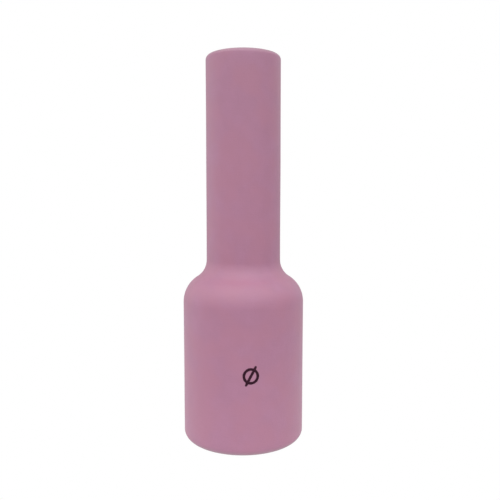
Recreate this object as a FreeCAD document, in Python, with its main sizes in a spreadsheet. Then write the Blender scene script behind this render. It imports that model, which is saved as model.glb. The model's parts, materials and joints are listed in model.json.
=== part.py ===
import FreeCAD, Part
import math
import os

import Sketcher

# A long ceramic gas nozzle for a TIG torch that carries a gas lens: a wide skirt with a rounded
# internal thread at the rear, a rounded shoulder, and a long straight barrel. It is one fired piece of
# pink alumina, and a size mark is printed on its skirt in black ink.
#
# Millimetres. The origin is the centre of the flat rear rim, +Z runs along the axis to the mouth, and
# the size mark faces -Y. The nozzle is shaped as it is made: the outside is a turned form, and the
# inside is the shape of the threaded core pin that it is pressed on.

SIZES = (
    ("NozzleLength", 76.0, "rear rim to mouth"),
    ("SkirtDiameter", 24.0, "outside of the wide rear end"),
    ("BarrelDiameter", 14.7, "outside of the long front end"),
    ("ShoulderStart", 27.7, "height where the skirt starts to round over"),
    ("ShoulderCrown", 5.8, "radius of the shoulder's outer curve"),
    ("ShoulderFoot", 4.1, "radius of the curve into the barrel"),
    ("RearRimRound", 1.6, "round on the skirt's rear edge"),
    ("MouthLipRound", 0.9, "round on the outside of the mouth"),
    ("MouthBoreRound", 0.4, "round on the inside of the mouth"),
    ("BoreDiameter", 11.1, "gas bore"),
    ("ChamberDiameter", 17.6, "smooth chamber around the gas lens"),
    ("FunnelStart", 28.4, "height where the chamber starts to close in"),
    ("FunnelCrown", 3.0, "radius at the wide end of the funnel"),
    ("FunnelFoot", 4.0, "radius at the funnel's way into the bore"),
    ("SocketDepth", 8.2, "depth of the threaded socket"),
    ("LeadInDiameter", 19.5, "mouth of the socket's 45 degree lead-in"),
    ("ThreadDiameter", 18.1, "wall of the socket, over the thread's crests"),
    ("ThreadDepth", 0.55, "crest to root"),
    ("ThreadPitch", 1.411, "18 turns to the inch, right hand"),
    ("ThreadRootRound", 0.14, "round at the bottom of the thread groove"),
    ("ThreadGrooveWidth", 0.8, "groove width at the ridge's buried base"),
    ("ThreadFadeStart", 5.8, "height where the root starts to run out"),
    ("ThreadFadeEnd", 7.7, "height where the groove is gone"),
    ("RidgeOverlap", 0.15, "how far the core pin's ridge is rooted in the pin"),
    ("Overrun", 1.0, "how far the core pin runs past each end"),
    ("MarkHeight", 15.6, "centre of the size mark above the rear rim"),
    ("MarkOffset", 1.5, "centre of the size mark to the right of the axis"),
    ("MarkRingDiameter", 3.1, "outside of the ring"),
    ("MarkStroke", 0.46, "width of the printed line"),
    ("MarkBarLength", 4.3, "the slanted bar, end to end"),
    ("MarkBarAngle", 62.0, "degrees from level"),
    ("InkThickness", 0.05, "how far the ink stands above the bare ceramic"),
)
FULL_TURN = 360.0
ORIGIN = (-1, 1)  # a sketch's own origin point
LEVEL_AXIS = -1
UPRIGHT_AXIS = -2
START, END, CENTRE = 1, 2, 3
EDGE_TOLERANCE = 0.001
RIDGE_LEAD = 0.5  # turns of the thread below the rear rim
BLOCK_MARGIN = 1.0  # how far the size mark's block runs out past the skirt

doc = FreeCAD.newDocument("nozzle")
sheet = doc.addObject("Spreadsheet::Sheet", "Dimensions")
for row, (alias, value, meaning) in enumerate(SIZES, 1):
    sheet.set("A%d" % row, meaning)
    sheet.set("B%d" % row, "%g" % value)
    sheet.setAlias("B%d" % row, alias)
doc.recompute()


def size(alias):
    """A driving dimension's value."""
    return float(sheet.get(alias))


def cell(alias):
    """A driving dimension's name in an expression."""
    return "Dimensions." + alias


def half(alias):
    """Half of a driving dimension, in an expression."""
    return cell(alias) + " / 2"


def point(across, up):
    """A point of an upright sketch: across is the distance from the axis, and up is the height."""
    return FreeCAD.Vector(across, up, 0)


def upright_sketch(body, name):
    """A sketch on the body's own XZ plane."""
    sketch = body.newObject("Sketcher::SketchObject", name)
    planes = [plane for plane in body.Origin.OriginFeatures if plane.Role == "XZ_Plane"]
    sketch.AttachmentSupport = (planes[0], [""])
    sketch.MapMode = "FlatFace"
    return sketch


def drive(sketch, name, expression, kind, *places):
    """Adds a dimension to the sketch and binds it to the sheet."""
    number = sketch.addConstraint(Sketcher.Constraint(kind, *places))
    sketch.renameConstraint(number, name)
    sketch.setExpression("Constraints." + name, expression)


def relate(sketch, kind, *places):
    """Adds a constraint that has no size."""
    sketch.addConstraint(Sketcher.Constraint(kind, *places))


def closed_polygon(sketch, corners):
    """Draws straight edges through the corners and back. Edges drawn level or upright stay so."""
    points = [point(*corner) for corner in corners]
    edges = []
    for first, second in zip(points, points[1:] + points[:1]):
        edges.append(sketch.addGeometry(Part.LineSegment(first, second), False))
        if first.x == second.x:
            relate(sketch, "Vertical", edges[-1])
        if first.y == second.y:
            relate(sketch, "Horizontal", edges[-1])
    for before, after in zip(edges, edges[1:] + edges[:1]):
        relate(sketch, "Coincident", before, END, after, START)
    return edges


def necked_profile(body, name, wide, narrow, neck, crown, foot, high, high_size):
    """Half the section of a turned form that stands on the rear rim and necks down further up.

    The neck is two arcs, tangent to each other and to the straight walls. high is the height of its top
    and high_size the expression for it. The other sizes are names in the sheet.
    """
    sketch = upright_sketch(body, name)
    wide_radius = size(wide) / 2
    narrow_radius = size(narrow) / 2
    crown_radius = size(crown)
    foot_radius = size(foot)
    neck_start = size(neck)
    reach = crown_radius + foot_radius
    sweep = math.acos(1 - (wide_radius - narrow_radius) / reach)
    neck_end = neck_start + reach * math.sin(sweep)

    def edge(first, second):
        return sketch.addGeometry(Part.LineSegment(point(*first), point(*second)), False)

    def arc(across, up, radius, begin, finish):
        circle = Part.Circle(point(across, up), FreeCAD.Vector(0, 0, 1), radius)
        return sketch.addGeometry(Part.ArcOfCircle(circle, begin, finish), False)

    base = edge((0, 0), (wide_radius, 0))
    wide_wall = edge((wide_radius, 0), (wide_radius, neck_start))
    crown_arc = arc(wide_radius - crown_radius, neck_start, crown_radius, 0, sweep)
    foot_arc = arc(narrow_radius + foot_radius, neck_end, foot_radius, math.pi, math.pi + sweep)
    narrow_wall = edge((narrow_radius, neck_end), (narrow_radius, high))
    cap = edge((narrow_radius, high), (0, high))
    axis = edge((0, high), (0, 0))

    for level in (base, cap):
        relate(sketch, "Horizontal", level)
    for upright in (wide_wall, narrow_wall, axis):
        relate(sketch, "Vertical", upright)
    relate(sketch, "Coincident", base, END, wide_wall, START)
    relate(sketch, "Tangent", wide_wall, END, crown_arc, START)
    relate(sketch, "Tangent", crown_arc, END, foot_arc, END)
    relate(sketch, "Tangent", foot_arc, START, narrow_wall, START)
    relate(sketch, "Coincident", narrow_wall, END, cap, START)
    relate(sketch, "Coincident", cap, END, axis, START)
    relate(sketch, "Coincident", axis, END, base, START)
    relate(sketch, "Coincident", base, START, *ORIGIN)

    drive(sketch, "wide_radius", half(wide), "DistanceX", *ORIGIN, wide_wall, END, wide_radius)
    drive(sketch, "narrow_radius", half(narrow), "DistanceX", *ORIGIN, narrow_wall, END, narrow_radius)
    drive(sketch, "neck_start", cell(neck), "DistanceY", *ORIGIN, wide_wall, END, neck_start)
    drive(sketch, "crown", cell(crown), "Radius", crown_arc, crown_radius)
    drive(sketch, "foot", cell(foot), "Radius", foot_arc, foot_radius)
    drive(sketch, "high", high_size, "DistanceY", *ORIGIN, cap, END, high)
    return sketch


def turn(body, sketch, name, kind="PartDesign::Revolution"):
    """Turns a sketch all the way round the upright axis."""
    feature = body.newObject(kind, name)
    feature.Profile = sketch
    feature.ReferenceAxis = (sketch, ["V_Axis"])
    feature.Angle = FULL_TURN
    return feature


def round_ring(body, name, radius, height, alias):
    """Rounds the ring-shaped edge that has this radius and height."""
    base = body.Tip
    names = []
    for number, edge in enumerate(base.Shape.Edges, 1):
        if not isinstance(edge.Curve, Part.Circle):
            continue
        off_radius = abs(edge.Curve.Radius - radius)
        off_height = abs(edge.Curve.Center.z - height)
        if off_radius < EDGE_TOLERANCE and off_height < EDGE_TOLERANCE:
            names.append("Edge%d" % number)
    fillet = body.newObject("PartDesign::Fillet", name)
    fillet.Base = (base, names)
    fillet.setExpression("Radius", cell(alias))
    doc.recompute()


def thread_ridge(body):
    """The core pin's helical ridge, which leaves the nozzle's thread groove.

    Its section is a wedge with a rounded tip. It starts below the rear rim and climbs past the point
    where the thread has faded out.
    """
    sketch = upright_sketch(body, "ridge_section")
    pin_radius = size("ThreadDiameter") / 2
    base_across = pin_radius - size("RidgeOverlap")
    tip_round = size("ThreadRootRound")
    tip_across = pin_radius + size("ThreadDepth") - tip_round
    half_width = size("ThreadGrooveWidth") / 2
    centre_up = -size("ThreadPitch") * RIDGE_LEAD

    # The flank runs from the base corner to its point of tangency on the tip.
    span = math.hypot(tip_across - base_across, half_width)
    lean = math.atan2(half_width, tip_across - base_across) - math.asin(tip_round / span)
    touch_across = tip_across + tip_round * math.sin(lean)
    touch_up = tip_round * math.cos(lean)

    base = sketch.addGeometry(
        Part.LineSegment(
            point(base_across, centre_up + half_width),
            point(base_across, centre_up - half_width),
        ),
        False,
    )
    lower = sketch.addGeometry(
        Part.LineSegment(
            point(base_across, centre_up - half_width),
            point(touch_across, centre_up - touch_up),
        ),
        False,
    )
    circle = Part.Circle(point(tip_across, centre_up), FreeCAD.Vector(0, 0, 1), tip_round)
    right_angle = math.pi / 2
    tip = sketch.addGeometry(Part.ArcOfCircle(circle, lean - right_angle, right_angle - lean), False)
    upper = sketch.addGeometry(
        Part.LineSegment(
            point(touch_across, centre_up + touch_up),
            point(base_across, centre_up + half_width),
        ),
        False,
    )
    relate(sketch, "Vertical", base)
    relate(sketch, "Coincident", base, END, lower, START)
    relate(sketch, "Tangent", lower, END, tip, START)
    relate(sketch, "Tangent", tip, END, upper, START)
    relate(sketch, "Coincident", upper, END, base, START)
    relate(sketch, "Equal", lower, upper)
    base_size = half("ThreadDiameter") + " - " + cell("RidgeOverlap")
    tip_size = half("ThreadDiameter") + " + " + cell("ThreadDepth") + " - " + cell("ThreadRootRound")
    drive(sketch, "base", base_size, "DistanceX", *ORIGIN, base, START, base_across)
    drive(sketch, "tip", tip_size, "DistanceX", *ORIGIN, tip, CENTRE, tip_across)
    drive(sketch, "tip_round", cell("ThreadRootRound"), "Radius", tip, tip_round)
    drive(sketch, "width", cell("ThreadGrooveWidth"), "DistanceY", base, END, base, START, 2 * half_width)
    lead_size = cell("ThreadPitch") + " * %g" % RIDGE_LEAD
    drive(sketch, "lead", lead_size, "DistanceY", tip, CENTRE, *ORIGIN, -centre_up)
    doc.recompute()

    ridge = body.newObject("PartDesign::AdditiveHelix", "ridge")
    ridge.Profile = sketch
    ridge.ReferenceAxis = (sketch, ["V_Axis"])
    ridge.Mode = "pitch-height-angle"
    ridge.setExpression("Pitch", cell("ThreadPitch"))
    ridge.setExpression("Height", cell("SocketDepth") + " + " + cell("ThreadPitch"))
    ridge.LeftHanded = False
    ridge.Reversed = False
    doc.recompute()
    return ridge


def thread_fade(body):
    """Turns the ridge's inner end down to a long cone, so that the thread runs out gently."""
    fade_start = size("ThreadFadeStart")
    fade_end = size("ThreadFadeEnd")
    crest = size("ThreadDiameter") / 2
    depth = size("ThreadDepth")
    margin = size("RidgeOverlap") * 2
    steepness = (fade_end - fade_start) / depth
    inner = crest - margin
    outer = crest + depth + margin
    high = size("SocketDepth") + size("ThreadPitch") * 2
    low_corner = (outer, fade_start - margin * steepness)
    high_corner = (inner, fade_end + margin * steepness)

    sketch = upright_sketch(body, "fade_section")
    edges = closed_polygon(sketch, (high_corner, low_corner, (outer, high), (inner, high)))
    slope, outside = edges[:2]
    margin_size = cell("RidgeOverlap") + " * 2"
    inner_size = half("ThreadDiameter") + " - " + margin_size
    outer_size = half("ThreadDiameter") + " + " + cell("ThreadDepth") + " + " + margin_size
    steep_size = "(%s - %s) / %s" % (cell("ThreadFadeEnd"), cell("ThreadFadeStart"), cell("ThreadDepth"))
    reach_size = margin_size + " * " + steep_size
    low_size = cell("ThreadFadeStart") + " - " + reach_size
    slope_high_size = cell("ThreadFadeEnd") + " + " + reach_size
    top_size = cell("SocketDepth") + " + " + cell("ThreadPitch") + " * 2"
    drive(sketch, "inner", inner_size, "DistanceX", *ORIGIN, slope, START, inner)
    drive(sketch, "outer", outer_size, "DistanceX", *ORIGIN, slope, END, outer)
    drive(sketch, "low", low_size, "DistanceY", *ORIGIN, slope, END, low_corner[1])
    drive(sketch, "slope_high", slope_high_size, "DistanceY", *ORIGIN, slope, START, high_corner[1])
    drive(sketch, "high", top_size, "DistanceY", *ORIGIN, outside, END, high)
    return turn(body, sketch, "ridge_fade", "PartDesign::Groove")


def thread_pin(body):
    """The pin of the threaded socket: its 45 degree lead-in, its wall, and the step to the chamber."""
    crest = size("ThreadDiameter") / 2
    lead_in = size("LeadInDiameter") / 2
    chamber = size("ChamberDiameter") / 2
    depth = size("SocketDepth")
    overrun = size("Overrun")
    corners = (
        (0, -overrun),
        (lead_in + overrun, -overrun),
        (crest, lead_in - crest),
        (crest, depth),
        (chamber, depth + crest - chamber),
        (0, depth + crest - chamber),
    )
    sketch = upright_sketch(body, "socket_section")
    base, cone, wall, step, cap, axis = closed_polygon(sketch, corners)
    relate(sketch, "PointOnObject", axis, START, UPRIGHT_AXIS)
    cone_size = half("LeadInDiameter") + " + " + cell("Overrun")
    foot_size = half("LeadInDiameter") + " - " + half("ThreadDiameter")
    step_size = cell("SocketDepth") + " + " + half("ThreadDiameter") + " - " + half("ChamberDiameter")
    drive(sketch, "below", cell("Overrun"), "DistanceY", base, START, *ORIGIN, overrun)
    drive(sketch, "cone_wide", cone_size, "DistanceX", *ORIGIN, base, END, lead_in + overrun)
    drive(sketch, "crest", half("ThreadDiameter"), "DistanceX", *ORIGIN, wall, START, crest)
    drive(sketch, "cone_end", foot_size, "DistanceY", *ORIGIN, wall, START, lead_in - crest)
    drive(sketch, "depth", cell("SocketDepth"), "DistanceY", *ORIGIN, wall, END, depth)
    drive(sketch, "chamber", half("ChamberDiameter"), "DistanceX", *ORIGIN, step, END, chamber)
    drive(sketch, "step", step_size, "DistanceY", *ORIGIN, step, END, depth + crest - chamber)
    return turn(body, sketch, "socket_pin")


def core_pin():
    """The inside of the nozzle as a solid: threaded socket, gas lens chamber, funnel and gas bore."""
    body = doc.addObject("PartDesign::Body", "core_pin")
    ridge = thread_ridge(body)
    whole = ridge.Shape.Volume
    fade = thread_fade(body)
    doc.recompute()
    if not fade.Shape.Volume < whole:
        raise SystemExit("the thread's fade cut nothing")
    thread_pin(body)
    length = size("NozzleLength") + size("Overrun")
    length_size = cell("NozzleLength") + " + " + cell("Overrun")
    passage = necked_profile(
        body,
        "passage_section",
        wide="ChamberDiameter",
        narrow="BoreDiameter",
        neck="FunnelStart",
        crown="FunnelCrown",
        foot="FunnelFoot",
        high=length,
        high_size=length_size,
    )
    turn(body, passage, "gas_passage")
    doc.recompute()
    return body


def ceramic_nozzle():
    """The fired ceramic: a turned outside, less the core pin, with its three rims rounded."""
    pin = core_pin()
    body = doc.addObject("PartDesign::Body", "ceramic_nozzle")
    length = size("NozzleLength")
    outside = necked_profile(
        body,
        "outside_section",
        wide="SkirtDiameter",
        narrow="BarrelDiameter",
        neck="ShoulderStart",
        crown="ShoulderCrown",
        foot="ShoulderFoot",
        high=length,
        high_size=cell("NozzleLength"),
    )
    form = turn(body, outside, "turned_form")
    doc.recompute()
    full = form.Shape.Volume

    hollow = body.newObject("PartDesign::Boolean", "pressed_hollow")
    hollow.Type = "Cut"
    hollow.setObjects([pin])
    doc.recompute()
    if not hollow.Shape.Volume < full:
        raise SystemExit("the core pin cut nothing")

    round_ring(body, "rear_rim_round", size("SkirtDiameter") / 2, 0, "RearRimRound")
    round_ring(body, "mouth_lip_round", size("BarrelDiameter") / 2, length, "MouthLipRound")
    round_ring(body, "mouth_bore_round", size("BoreDiameter") / 2, length, "MouthBoreRound")
    return body


def mark_outline():
    """The size mark seen square on, as a block that runs from the axis out past the skirt: a ring with
    a slanted bar through it."""
    body = doc.addObject("PartDesign::Body", "mark_outline")
    ring_radius = size("MarkRingDiameter") / 2
    stroke = size("MarkStroke")
    across = size("MarkOffset")
    up = size("MarkHeight")
    reach_size = half("SkirtDiameter") + " + %g" % BLOCK_MARGIN

    ring = upright_sketch(body, "ring_section")
    upright = FreeCAD.Vector(0, 0, 1)
    outer = ring.addGeometry(Part.Circle(point(across, up), upright, ring_radius), False)
    inner = ring.addGeometry(Part.Circle(point(across, up), upright, ring_radius - stroke), False)
    relate(ring, "Coincident", outer, CENTRE, inner, CENTRE)
    inner_size = half("MarkRingDiameter") + " - " + cell("MarkStroke")
    drive(ring, "outer", half("MarkRingDiameter"), "Radius", outer, ring_radius)
    drive(ring, "inner", inner_size, "Radius", inner, ring_radius - stroke)
    drive(ring, "across", cell("MarkOffset"), "DistanceX", *ORIGIN, outer, CENTRE, across)
    drive(ring, "up", cell("MarkHeight"), "DistanceY", *ORIGIN, outer, CENTRE, up)

    bar = upright_sketch(body, "bar_section")
    angle = math.radians(size("MarkBarAngle"))
    radius = stroke / 2
    reach = size("MarkBarLength") / 2 - radius
    along = FreeCAD.Vector(math.cos(angle), math.sin(angle), 0)
    aside = FreeCAD.Vector(-along.y, along.x, 0)
    middle = point(across, up)
    high_end = middle + along * reach
    low_end = middle - along * reach
    quarter = math.pi / 2
    high_cap = Part.ArcOfCircle(Part.Circle(high_end, upright, radius), angle - quarter, angle + quarter)
    low_cap = Part.ArcOfCircle(Part.Circle(low_end, upright, radius), angle + quarter, angle + 3 * quarter)
    left_side = Part.LineSegment(high_end + aside * radius, low_end + aside * radius)
    right_side = Part.LineSegment(low_end - aside * radius, high_end - aside * radius)
    shapes = [bar.addGeometry(shape, False) for shape in (high_cap, left_side, low_cap, right_side)]
    for before, after in zip(shapes, shapes[1:] + shapes[:1]):
        relate(bar, "Tangent", before, END, after, START)
    high_round, left, low_round, _ = shapes
    relate(bar, "Equal", high_round, low_round)
    centre = bar.addGeometry(Part.Point(middle), True)
    relate(bar, "Symmetric", high_round, CENTRE, low_round, CENTRE, centre, START)
    length_size = cell("MarkBarLength") + " - " + cell("MarkStroke")
    drive(bar, "stroke", half("MarkStroke"), "Radius", high_round, radius)
    drive(bar, "length", length_size, "Distance", high_round, CENTRE, low_round, CENTRE, 2 * reach)
    drive(bar, "slant", cell("MarkBarAngle"), "Angle", LEVEL_AXIS, START, left, END, angle)
    drive(bar, "across", cell("MarkOffset"), "DistanceX", *ORIGIN, centre, START, across)
    drive(bar, "up", cell("MarkHeight"), "DistanceY", *ORIGIN, centre, START, up)

    for name, sketch in (("ring_block", ring), ("bar_block", bar)):
        block = body.newObject("PartDesign::Pad", name)
        block.Profile = sketch
        block.setExpression("Length", reach_size)
    doc.recompute()
    return body


def size_mark():
    """The printed mark: the part of a thin sleeve of ink around the skirt that the outline covers."""
    sleeve = []
    for name, radius_size in (
        ("ink_outside", half("SkirtDiameter") + " + " + cell("InkThickness")),
        ("ink_inside", half("SkirtDiameter")),
    ):
        cylinder = doc.addObject("Part::Cylinder", name)
        cylinder.setExpression("Radius", radius_size)
        cylinder.setExpression("Height", cell("MarkBarLength"))
        cylinder.setExpression("Placement.Base.z", cell("MarkHeight") + " - " + half("MarkBarLength"))
        sleeve.append(cylinder)
    film = doc.addObject("Part::Cut", "ink_film")
    film.Base, film.Tool = sleeve
    mark = doc.addObject("Part::Common", "size_mark")
    mark.Base = film
    mark.Tool = mark_outline()
    doc.recompute()
    return mark


def check_document():
    """Stops the macro if any object failed or any sketch is free to move."""
    for thing in doc.Objects:
        if "Invalid" in thing.State or "Error" in thing.State:
            raise SystemExit("%s did not compute: %s" % (thing.Label, thing.State))
        if thing.TypeId == "Sketcher::SketchObject" and not thing.FullyConstrained:
            raise SystemExit("sketch %s isn't fully constrained" % thing.Label)


def write_nodes(nodes):
    """Checks each piece's solid, then writes it to parts/ under the piece's own name."""
    for node in nodes:
        if node.Shape.isNull() or not node.Shape.isValid() or not node.Shape.Solids:
            raise SystemExit("%s has no valid solid" % node.Label)
    os.makedirs("parts", exist_ok=True)
    for node in nodes:
        node.Shape.exportStep("parts/%s.step" % node.Label)
        print("%s: %d solid(s), %.2f mm3" % (node.Label, len(node.Shape.Solids), node.Shape.Volume))


nodes = (ceramic_nozzle(), size_mark())
doc.recompute()
check_document()
write_nodes(nodes)
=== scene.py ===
import json
from math import acos, ceil, cos, pi, radians, sin, tan

import bmesh
import bpy
import numpy as np
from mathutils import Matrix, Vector


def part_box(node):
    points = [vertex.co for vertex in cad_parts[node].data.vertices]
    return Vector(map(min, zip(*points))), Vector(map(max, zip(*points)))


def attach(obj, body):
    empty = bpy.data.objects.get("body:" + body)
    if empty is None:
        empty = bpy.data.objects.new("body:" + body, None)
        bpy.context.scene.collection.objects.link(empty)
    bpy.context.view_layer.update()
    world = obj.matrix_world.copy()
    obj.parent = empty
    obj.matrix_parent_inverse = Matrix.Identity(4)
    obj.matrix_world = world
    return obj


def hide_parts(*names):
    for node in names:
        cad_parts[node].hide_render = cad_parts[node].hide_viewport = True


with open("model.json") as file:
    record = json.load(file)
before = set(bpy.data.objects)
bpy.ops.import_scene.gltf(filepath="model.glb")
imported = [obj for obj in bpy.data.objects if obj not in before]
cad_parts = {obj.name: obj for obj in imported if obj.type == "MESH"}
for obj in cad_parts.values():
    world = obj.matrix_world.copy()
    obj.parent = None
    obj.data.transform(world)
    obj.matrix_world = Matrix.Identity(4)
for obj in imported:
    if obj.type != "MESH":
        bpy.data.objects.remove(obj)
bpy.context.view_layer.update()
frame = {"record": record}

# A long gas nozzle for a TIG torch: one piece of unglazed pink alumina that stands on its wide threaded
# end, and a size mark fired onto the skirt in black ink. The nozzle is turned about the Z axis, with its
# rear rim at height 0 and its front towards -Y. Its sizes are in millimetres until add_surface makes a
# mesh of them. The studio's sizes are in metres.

MM = 0.001
TURN = 2 * pi

# ---------------------------------------------------------------- the nozzle's sizes

NOZZLE = "ceramic_nozzle"
MARK = "size_mark"
BORES = {mount["name"]: mount["dims"].get("r_mm") for mount in frame["record"]["mounts"]}

# the walls, as radii
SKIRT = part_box(NOZZLE)[1].x / MM
CREST = BORES["gas_lens_thread"]
CHAMBER = BORES["gas_lens_chamber"]
BORE = BORES["gas_outlet_bore"]
BARREL_WALL = 1.8  # its thickness
BARREL = BORE + BARREL_WALL

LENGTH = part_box(NOZZLE)[1].z / MM
SHOULDER_START = 27.7
SHOULDER_CROWN = 5.8  # the round where the skirt turns in
SHOULDER_FOOT = 4.1  # the round where the shoulder runs out into the barrel
FUNNEL_START = 28.4
FUNNEL_CROWN = 3.0
FUNNEL_FOOT = 4.0
REAR_ROUND = 1.6
LIP_ROUND = 0.9
BORE_ROUND = 0.4
FIRED_EDGE = 0.12  # firing softens every edge that the press leaves sharp

SOCKET_DEPTH = 8.2
LEAD_IN = 0.7
THREAD_PITCH = 25.4 / 18  # 18 turns to the inch
THREAD_START = 0.5  # the part of a turn from +X to where the groove leaves the rim's level
GROOVE_DEPTH = 0.55
GROOVE_HALF = 0.334  # half the groove's width where it breaks the crest
GROOVE_ROOT = 0.14  # the round in the bottom of the groove
FADE_START = 5.8
FADE_END = 7.7

# the waves by which firing pulls the wall off true: how far, how many times round, the height in which
# each moves on by a radian, and where it starts
FIRED_WAVES = (
    (0.022, 2, 31, 0.9),
    (0.018, 1, 19, -1.7),
    (0.006, 5, 7.3, 0),
    (0.007, 0, 3.9, 0.5),
)

# the mark's middle, round the skirt to the right of the front and up from the rear rim
MARK_ACROSS = 1.5
MARK_UP = 15.6
RING_RADIUS = 1.3  # to the middle of the line
BAR_LENGTH = 4.3
BAR_SLANT = radians(62)
LINE_WIDTH = 0.5
LINE_RAGGED = 0.045  # the share of its width by which the line swells and narrows
HALF_BAR_TURN = 2.4  # half the bar is as ragged as this much of the ring, in radians
SIDE_POWER = 0.5  # the powers that shape the line's section, lower for a squarer side or face
FACE_POWER = 0.7
END_POWER = 15  # how late the bar begins to close at its ends
INK_SUNK = 0.02  # how far the ink soaks into the ceramic
RING_PROUD = 0.045
BAR_PROUD = 0.057  # the bar is printed over the ring

# how far apart the rows of the ceramic's mesh lie, and how many columns and rows each piece has
ROW_THREAD = 0.056
ROW_ROUND = 0.22
ROW_OUTSIDE = 0.7
ROW_INSIDE = 1.1
ARC_ROWS = 4  # at least, in a round
COLUMNS = 192
RING_ROWS = 160
BAR_ROWS = 121
LINE_COLUMNS = 28
WELD = 0.0005  # points closer than this are one

# ---------------------------------------------------------------- the finishes' colours

WHITE = (1, 1, 1, 1)
DEEP_PINK = (0.314, 0.105, 0.198, 1)
PALE_PINK = (0.354, 0.130, 0.237, 1)
WARM_PINK = (0.356, 0.114, 0.192, 1)
# painted reflection: the greyer pink on the worn patches of both rims stands in for a grazing reflection
PAINTED_RIM_REFLECTION = (0.300, 0.165, 0.215, 1)
CRYSTAL_PINK = (0.52, 0.30, 0.40, 1)
# painted shade: the darker pink inside the open pores
PAINTED_PORE_SHADE = (0.20, 0.075, 0.12, 1)
IRON_SPECK = (0.07, 0.035, 0.03, 1)
INK = (0.025, 0.003, 0.013, 1)
THIN_INK = (0.080, 0.020, 0.042, 1)
TABLE_GLASS = (0.02, 0.02, 0.02, 1)  # dark, so that the table gives its own light and hardly any other

# ---------------------------------------------------------------- the studio's sizes and light

CAMERA_PLACE = Vector((0.00133, -0.1183, 0.04825))
CAMERA_TIP = radians(4.98)  # how far it looks down
CAMERA_LENS = 42.54
CAMERA_SENSOR = 36
CAMERA_NEAR = 0.01  # so that it still sees the nozzle from close up

# glows are brightnesses, where the plain white behind the nozzle is 1
SEEN_GLOW = 1.0
ROOM_GLOW = 0.61
GROUND_GLOW = 0.3
HORIZON = 0.1  # the sine of how far above and below level the ground turns into the room
TABLE_GLOW = 0.89
TABLE_RADIUS = 0.145
TABLE_DROP = 0.00002  # the gap that keeps the table clear of the rear rim
TABLE_SIDES = 96


# ---------------------------------------------------------------- shapes

def full_turn(steps):
    """Evenly spaced angles that go once round and don't repeat the first."""
    return np.arange(steps) * TURN / steps


def soft_maximum(one, other, blend):
    """The larger of two surfaces, with a round in place of the crease between them.

    Where they are less than blend apart, it adds the square of what is left of blend over 4 * blend.
    """
    overlap = np.maximum(blend - np.abs(one - other), 0)
    return np.maximum(one, other) + overlap ** 2 / (4 * blend)


def neck(wide, narrow, start, crown, foot):
    """The two rounded corners of an S that takes a wall in from one radius to another.

    Its two arcs meet at a common tangent, so each sweeps the angle whose cosine is 1 less the step in
    radius over the sum of the arcs' radii. Each corner lies its arc's radius * tan(sweep / 2) away from
    where the arc touches the straight wall.
    """
    sweep = acos(1 - (wide - narrow) / (crown + foot))
    end = start + (crown + foot) * sin(sweep)
    reach = tan(sweep / 2)
    return [(wide, start + crown * reach, crown), (narrow, end - foot * reach, foot)]


def nozzle_section():
    """The wall's section, anticlockwise from the rear rim's outer edge, as corners.

    A corner is its radius, its height, its round and how far apart the rows lie on the run after it.
    """
    shoulder = [(*corner, ROW_OUTSIDE) for corner in neck(
        SKIRT, BARREL, SHOULDER_START, SHOULDER_CROWN, SHOULDER_FOOT)]
    funnel = [(*corner, ROW_INSIDE) for corner in neck(
        CHAMBER, BORE, FUNNEL_START, FUNNEL_CROWN, FUNNEL_FOOT)]
    return [
        (SKIRT, 0, REAR_ROUND, ROW_OUTSIDE),
        *shoulder,
        (BARREL, LENGTH, LIP_ROUND, ROW_ROUND),
        (BORE, LENGTH, BORE_ROUND, ROW_INSIDE),
        *reversed(funnel),
        (CHAMBER, SOCKET_DEPTH + CREST - CHAMBER, FIRED_EDGE, ROW_ROUND),
        (CREST, SOCKET_DEPTH, FIRED_EDGE, ROW_THREAD),
        (CREST, LEAD_IN, FIRED_EDGE, ROW_THREAD),
        (CREST + LEAD_IN, 0, FIRED_EDGE, ROW_ROUND),
    ]


def rounded_outline(corners):
    """Points along a closed outline whose corners are rounded by arcs.

    An arc touches both runs at round * tan(turn / 2) from its corner, and its point at angle a is
    centre + round * (out * cos a + along * sin a), where out points from the centre to the arc's start
    and along is the run that arrives there.
    """
    tips = np.array([corner[:2] for corner in corners], float)
    runs = np.roll(tips, -1, axis=0) - tips
    runs /= np.linalg.norm(runs, axis=1)[:, None]
    arcs = []
    for tip, arriving, leaving, corner in zip(tips, np.roll(runs, 1, axis=0), runs, corners):
        radius = corner[2]
        turn = acos(arriving @ leaving)
        start = tip - arriving * radius * tan(turn / 2)
        centre = tip + (leaving - arriving) * radius / sin(turn)
        steps = max(ARC_ROWS, ceil(turn * radius / ROW_ROUND))
        angle = np.linspace(0, turn, steps + 1)[:, None]
        arcs.append(centre + (start - centre) * np.cos(angle) + arriving * radius * np.sin(angle))
    pieces = []
    for arc, following, corner in zip(arcs, arcs[1:] + arcs[:1], corners):
        gap = following[0] - arc[-1]
        steps = max(1, ceil(np.linalg.norm(gap) / corner[3]))
        pieces += [arc, arc[-1] + gap * np.arange(1, steps)[:, None] / steps]
    outline = np.concatenate(pieces)
    apart = np.linalg.norm(outline - np.roll(outline, 1, axis=0), axis=1)
    return outline[apart > WELD]


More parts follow.
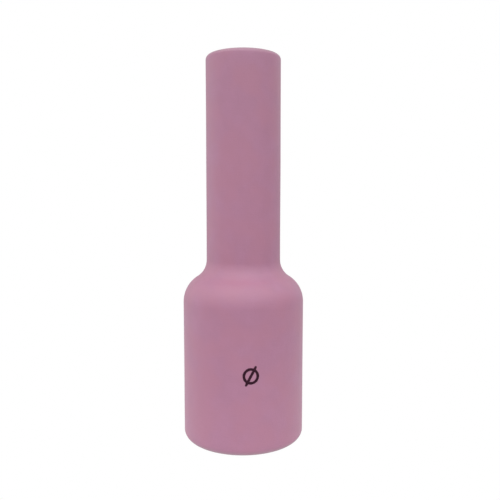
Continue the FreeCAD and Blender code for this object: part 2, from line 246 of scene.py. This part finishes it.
def thread_radius(angle, height):
    """How far out the right-hand groove of the socket's thread reaches.

    The groove's middle climbs one pitch a turn. Its depth falls off in line with the distance from that
    middle, a circle rounds its root, and a cone from FADE_START to FADE_END ends it.
    """
    turns = height / THREAD_PITCH - angle / TURN + THREAD_START
    off_middle = np.abs(turns - np.round(turns)) * THREAD_PITCH
    root_centre = GROOVE_DEPTH - GROOVE_ROOT
    # the flank leans so that it touches the root's circle and breaks the crest at GROOVE_HALF
    to_centre = np.hypot(GROOVE_HALF, root_centre)
    lean = np.arctan2(GROOVE_HALF, root_centre) - np.arcsin(GROOVE_ROOT / to_centre)
    flank = (GROOVE_HALF - off_middle) / tan(lean)
    circle = root_centre + np.sqrt(np.maximum(GROOVE_ROOT ** 2 - off_middle ** 2, 0))
    groove = np.where(off_middle < GROOVE_ROOT * cos(lean), circle, flank)
    fade = GROOVE_DEPTH * (FADE_END - height) / (FADE_END - FADE_START)
    return CREST - soft_maximum(-groove, -fade, FIRED_EDGE)


def fired_drift(angle, height):
    """How far firing pulls the wall off true: the sum of the waves that FIRED_WAVES lists, each a sine."""
    return sum(
        far * np.sin(times * angle + height / climb + start)
        for far, times, climb, start in FIRED_WAVES)


def around(radius, angle, height):
    """Grid points at a radius, an angle anticlockwise from +X and a height, drifted by the firing."""
    radius = radius + fired_drift(angle, height)
    return np.stack(np.broadcast_arrays(radius * np.cos(angle), radius * np.sin(angle), height), axis=-1)


def on_skirt(across, up, proud):
    """Points laid round the skirt's front: across to the right, up from the rim and proud of its face.

    The angle from the front is across over the skirt's radius.
    """
    return around(SKIRT + proud, across / SKIRT - pi / 2, up)


def add_surface(name, points, closed_rows):
    """A smooth mesh piece from a grid of points [row, column].

    Columns close on themselves. Rows do too where closed_rows is true; otherwise the first and the last
    row each draw together into a pole, which the weld closes.
    """
    rows, columns = points.shape[:2]
    grid = np.arange(rows * columns).reshape(rows, columns)
    if closed_rows:
        grid = np.vstack([grid, grid[:1]])
    beside = np.roll(grid, -1, axis=1)
    faces = np.stack([grid[:-1], beside[:-1], beside[1:], grid[1:]], axis=-1).reshape(-1, 4)
    mesh = bpy.data.meshes.new(name)
    mesh.from_pydata((points.reshape(-1, 3) * MM).tolist(), [], faces.tolist())
    weld = bmesh.new()
    weld.from_mesh(mesh)
    bmesh.ops.remove_doubles(weld, verts=weld.verts, dist=WELD * MM)
    bmesh.ops.recalc_face_normals(weld, faces=weld.faces)
    weld.to_mesh(mesh)
    weld.free()
    mesh.shade_smooth()
    piece = bpy.data.objects.new(name, mesh)
    bpy.context.scene.collection.objects.link(piece)
    return piece


def add_ceramic():
    """The whole nozzle: its rounded section carried round the axis, with the thread cut in the socket."""
    radius, height = rounded_outline(nozzle_section()).T[:, :, None]
    angle = full_turn(COLUMNS)[None]
    radius = soft_maximum(radius, thread_radius(angle, height), FIRED_EDGE)
    return add_surface("ceramic", around(radius, angle, height), closed_rows=True)


def signed_power(value, power):
    """A value's size raised to a power, with the value's own sign."""
    return np.sign(value) * np.abs(value) ** power


def ink_section(around_line, width, proud):
    """The section of a printed line, wide and thin with soft edges: a flattened superellipse.

    Across, it is half the width times the angle's cosine, raised to SIDE_POWER. Its height is the sine
    raised to FACE_POWER, stretched to run from INK_SUNK below the ceramic's face to proud above it.
    """
    across = signed_power(np.cos(around_line), SIDE_POWER) * width / 2
    lift = signed_power(np.sin(around_line), FACE_POWER)
    return across, (proud - INK_SUNK) / 2 + lift * (proud + INK_SUNK) / 2


def ragged(along, seed):
    """A printed edge's unevenness, as a factor near 1: three waves that don't keep step."""
    waves = np.sin(7 * along + seed) + 0.7 * np.sin(17 * along + 2 * seed) + 0.5 * np.sin(31 * along - seed)
    return 1 + LINE_RAGGED * waves


def add_ring():
    """The mark's ring: the line's section carried round a circle on the skirt."""
    along = full_turn(RING_ROWS)[:, None]
    width = LINE_WIDTH * ragged(along, seed=0.8)
    across, proud = ink_section(full_turn(LINE_COLUMNS)[None], width, RING_PROUD)
    radius = RING_RADIUS + across
    points = on_skirt(MARK_ACROSS + radius * np.cos(along), MARK_UP + radius * np.sin(along), proud)
    return add_surface("size_mark_ring", points, closed_rows=True)


def add_bar():
    """The mark's slanted bar: the line's section carried along it, drawn in to a pole at each round end.

    Along the bar a sine goes from -1 to 1. Raised to END_POWER, it stays near 0 until the ends, and it
    says how far they have closed. Half the line's width times that lengthens the run, while the width
    narrows by the square root of 1 less its square, so each end is a half circle.
    """
    along = np.sin(np.linspace(-pi / 2, pi / 2, BAR_ROWS))[:, None]
    closing = along ** END_POWER
    narrowing = np.sqrt(1 - closing ** 2)
    run = (BAR_LENGTH - LINE_WIDTH) / 2 * along + LINE_WIDTH / 2 * closing
    width = LINE_WIDTH * narrowing * ragged(HALF_BAR_TURN * along, seed=2.1)
    across, proud = ink_section(full_turn(LINE_COLUMNS)[None], width, BAR_PROUD)
    points = on_skirt(
        MARK_ACROSS + run * cos(BAR_SLANT) - across * sin(BAR_SLANT),
        MARK_UP + run * sin(BAR_SLANT) + across * cos(BAR_SLANT),
        narrowing * (proud + INK_SUNK) - INK_SUNK)
    return add_surface("size_mark_bar", points, closed_rows=False)


# ---------------------------------------------------------------- finishes

class Value:
    """An output of a shader node that is added, taken away and multiplied like a number."""

    def __init__(self, recipe, socket):
        self.recipe = recipe
        self.socket = socket

    def beside(self, output):
        """Another output of the same node."""
        return Value(self.recipe, self.socket.node.outputs[output])

    def maths(self, operation, first, second):
        """A Math node's result on two numbers, either of them a Value."""
        return self.recipe.node("ShaderNodeMath", {"operation": operation}, {0: first, 1: second})

    def __add__(self, other):
        return self.maths("ADD", self, other)

    def __radd__(self, other):
        return self.maths("ADD", other, self)

    def __sub__(self, other):
        return self.maths("SUBTRACT", self, other)

    def __rsub__(self, other):
        return self.maths("SUBTRACT", other, self)

    def __mul__(self, other):
        return self.maths("MULTIPLY", self, other)

    def __rmul__(self, other):
        return self.maths("MULTIPLY", other, self)


class Recipe:
    """The nodes of a material or of the world."""

    def __init__(self, owner):
        self.owner = owner
        owner.use_nodes = True
        self.nodes = owner.node_tree.nodes
        self.links = owner.node_tree.links

    def feed(self, socket, value):
        """Links a Value to a socket, or sets a plain number or colour on it."""
        if isinstance(value, Value):
            self.links.new(value.socket, socket)
        else:
            socket.default_value = value

    def node(self, kind, settings, inputs, output=0):
        """Adds a node of a kind, makes its settings, feeds its inputs and gives back one output."""
        node = self.nodes.new(kind)
        for name, setting in settings.items():
            setattr(node, name, setting)
        for name, value in inputs.items():
            self.feed(node.inputs[name], value)
        return Value(self, node.outputs[output])

    def place(self):
        """The point on the piece, in millimetres."""
        point = self.node("ShaderNodeTexCoord", {}, {}, "Object")
        return self.stretched(point, (1 / MM, 1 / MM, 1 / MM))

    def stretched(self, place, factors):
        """A point whose X, Y and Z are each multiplied by a factor."""
        return self.node("ShaderNodeVectorMath", {"operation": "MULTIPLY"}, {0: place, 1: factors})

    def noise(self, place, size, detail, roughness=0.5):
        """Cloudy noise from 0 to 1 whose clouds are about size across."""
        inputs = {"Vector": place, "Scale": 1 / size, "Detail": detail, "Roughness": roughness}
        return self.node("ShaderNodeTexNoise", {}, inputs)

    def step(self, value, low, high):
        """0 at low and 1 at high, smooth between them. high may be the smaller number."""
        inputs = {"Value": value, "From Min": low, "From Max": high}
        return self.node("ShaderNodeMapRange", {"interpolation_type": "SMOOTHSTEP"}, inputs)

    def dots(self, place, spacing, radius, share):
        """1 in the middle of round dots, falling to 0 at their radius.

        Space is cut into uneven cells about spacing wide, and each cell has a red of its own by chance.
        Those with the lowest reds, a share of them all, hold a dot.
        """
        inputs = {"Vector": place, "Scale": 1 / spacing}
        away = self.node("ShaderNodeTexVoronoi", {}, inputs, "Distance")
        red = self.node("ShaderNodeSeparateColor", {}, {0: away.beside("Color")}, "Red")
        edge = radius / spacing
        return self.step(red, share, 0.8 * share) * self.step(away, edge, 0.4 * edge)

    def mix(self, amount, one, other):
        """One colour turning into the other as amount goes from 0 to 1."""
        return self.node("ShaderNodeMix", {"data_type": "RGBA"}, {0: amount, 6: one, 7: other}, 2)

    def all_over(self, **values):
        """Sets the shader's values that are the same all over, with _ for the space in a name."""
        for name, value in values.items():
            self.nodes["Principled BSDF"].inputs[name.replace("_", " ")].default_value = value

    def shade(self, colour, roughness, relief):
        """Feeds the shader what changes over the surface. relief is its fine height in millimetres."""
        normal = self.node("ShaderNodeBump", {}, {"Height": relief, "Distance": MM}, "Normal")
        for name, value in {"Base Color": colour, "Roughness": roughness, "Normal": normal}.items():
            self.feed(self.nodes["Principled BSDF"].inputs[name], value)


def pink_alumina():
    """Unglazed fired alumina.

    Clouds of tone and hue lie under a fine grain with pale crystals, open pores darkened by painted shade
    and a few iron specks.
    Faint level rings are left from turning, and both rims are worn smoother in patches, greyed there by a
    painted reflection.
    """
    recipe = Recipe(bpy.data.materials.new("unglazed_pink_alumina"))
    place = recipe.place()
    height = recipe.node("ShaderNodeSeparateXYZ", {}, {0: place}, "Z")

    batch = recipe.noise(place, size=24, detail=2)
    cloud = recipe.noise(place, size=2.4, detail=3)
    hue = recipe.noise(place, size=5.5, detail=2)
    grain = recipe.noise(place, size=0.16, detail=3, roughness=0.6)
    rings = recipe.noise(recipe.stretched(place, (0.05, 0.05, 1)), size=0.3, detail=2)
    crystals = recipe.dots(place, spacing=0.34, radius=0.045, share=0.35)
    pores = recipe.dots(place, spacing=0.7, radius=0.05, share=0.35)
    specks = recipe.dots(place, spacing=5.0, radius=0.09, share=0.25)
    rims = recipe.step(height, low=1.3, high=0.2) + recipe.step(height, low=LENGTH - 0.8, high=LENGTH - 0.1)
    # worn patches near both rims: smoother, and given a painted reflection in their colour
    rubbed_with_painted_reflection = rims * recipe.step(grain + cloud, low=0.5, high=1.0)

    tone = 0.3 * batch + 0.35 * cloud + 0.35 * grain
    colour = recipe.mix(recipe.step(tone, low=0.3, high=0.7), DEEP_PINK, PALE_PINK)
    colour = recipe.mix(0.5 * recipe.step(hue, low=0.35, high=0.65), colour, WARM_PINK)
    # painted reflection: a greyer pink on the worn rim patches
    colour = recipe.mix(0.8 * rubbed_with_painted_reflection, colour, PAINTED_RIM_REFLECTION)
    colour = recipe.mix(0.25 * crystals, colour, CRYSTAL_PINK)
    # painted shade inside the open pores
    colour = recipe.mix(0.5 * pores, colour, PAINTED_PORE_SHADE)
    colour = recipe.mix(0.7 * specks, colour, IRON_SPECK)

    roughness = 0.56 + 0.08 * cloud + 0.08 * grain - 0.08 * rubbed_with_painted_reflection
    relief = 0.022 * grain + 0.03 * cloud + 0.012 * rings - 0.03 * pores
    recipe.shade(colour, roughness, relief)
    recipe.all_over(IOR=1.76, Specular_IOR_Level=0.75, Sheen_Weight=0.12)
    return recipe.owner


def black_ink():
    """Fired black ink with a trace of purple, thinner and browner in places, and a little rough."""
    recipe = Recipe(bpy.data.materials.new("fired_black_ink"))
    place = recipe.place()
    grain = recipe.noise(place, size=0.12, detail=3, roughness=0.6)
    patch = recipe.noise(place, size=0.7, detail=2)
    thin = recipe.step(grain + patch, low=1.05, high=1.35)

    colour = recipe.mix(0.5 * thin, INK, THIN_INK)
    roughness = 0.5 + 0.2 * patch + 0.1 * thin
    relief = 0.012 * grain + 0.01 * patch
    recipe.shade(colour, roughness, relief)
    recipe.all_over(IOR=1.25)
    return recipe.owner


# ---------------------------------------------------------------- studio

def add_camera():
    """A camera close in front of the nozzle, a little above its middle and tipped down."""
    camera = bpy.data.objects.new("camera", bpy.data.cameras.new("camera"))
    camera.location = CAMERA_PLACE
    camera.rotation_euler = (pi / 2 - CAMERA_TIP, 0, 0)
    camera.data.sensor_width = CAMERA_SENSOR
    camera.data.lens = CAMERA_LENS
    camera.data.clip_start = CAMERA_NEAR
    bpy.context.scene.collection.objects.link(camera)
    bpy.context.scene.camera = camera


def add_softbox(name, side, rise, distance, width, height, glow):
    """A soft rectangle of light aimed at the nozzle's middle.

    side is its angle in degrees from straight in front, positive to the right, and rise its angle above
    level. distance, width and height are in metres. Its power is its glow times pi times its area.
    """
    light = bpy.data.lights.new(name, "AREA")
    light.shape = "RECTANGLE"
    light.size = width
    light.size_y = height
    light.energy = glow * pi * width * height
    side = radians(side)
    rise = radians(rise)
    away = Vector((sin(side) * cos(rise), -cos(side) * cos(rise), sin(rise)))
    box = bpy.data.objects.new(name, light)
    box.location = Vector((0, 0, LENGTH * MM / 2)) + distance * away
    box.rotation_euler = away.to_track_quat("Z", "Y").to_euler()
    box.visible_camera = False
    bpy.context.scene.collection.objects.link(box)


def add_room():
    """A soft white room over a darker ground. Both are dimmer than the plain white that shows behind."""
    room = Recipe(bpy.data.worlds.new("white_room"))
    way = room.node("ShaderNodeTexCoord", {}, {}, "Generated")
    climb = room.node("ShaderNodeSeparateXYZ", {}, {0: way}, "Z")
    glow = GROUND_GLOW + (ROOM_GLOW - GROUND_GLOW) * room.step(climb, low=-HORIZON, high=HORIZON)
    seen = room.node("ShaderNodeLightPath", {}, {}, "Is Camera Ray")
    sky = room.nodes["Background"]
    room.feed(sky.inputs["Color"], WHITE)
    room.feed(sky.inputs["Strength"], glow + (SEEN_GLOW - glow) * seen)
    bpy.context.scene.world = room.owner
    # colours are shown as they are, so that white stays white
    bpy.context.scene.view_settings.view_transform = "Standard"


def add_light_table():
    """The floor: a round table of lit white glass just under the rear rim, so that no shadow falls.

    It lights the nozzle from below, and where it stands the camera sees the room's plain white.
    """
    glass = Recipe(bpy.data.materials.new("lit_white_glass"))
    glass.all_over(
        Base_Color=TABLE_GLASS, Roughness=0.9, Emission_Color=WHITE, Emission_Strength=TABLE_GLOW)
    angle = full_turn(TABLE_SIDES)
    edge = TABLE_RADIUS * np.stack([np.cos(angle), np.sin(angle), 0 * angle], axis=-1)
    mesh = bpy.data.meshes.new("light_table")
    mesh.from_pydata(edge.tolist(), [], [list(range(TABLE_SIDES))])
    mesh.materials.append(glass.owner)
    table = bpy.data.objects.new("light_table", mesh)
    table.location.z = -TABLE_DROP
    table.visible_camera = False
    bpy.context.scene.collection.objects.link(table)


# ---------------------------------------------------------------- the nozzle in its studio

add_camera()
add_room()
add_light_table()
add_softbox("high_softbox", side=0, rise=58, distance=0.8, width=2.4, height=1.15, glow=1.42)
add_softbox("left_softbox", side=-105, rise=13, distance=0.42, width=0.36, height=0.28, glow=1.05)
add_softbox("right_softbox", side=122, rise=25, distance=0.42, width=0.36, height=0.28, glow=0.6)

ceramic = add_ceramic()
ceramic.data.materials.append(pink_alumina())
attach(ceramic, "root")
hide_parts(NOZZLE)

ink = black_ink()
for line in (add_ring(), add_bar()):
    line.data.materials.append(ink)
    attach(line, "root")
    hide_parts(MARK)
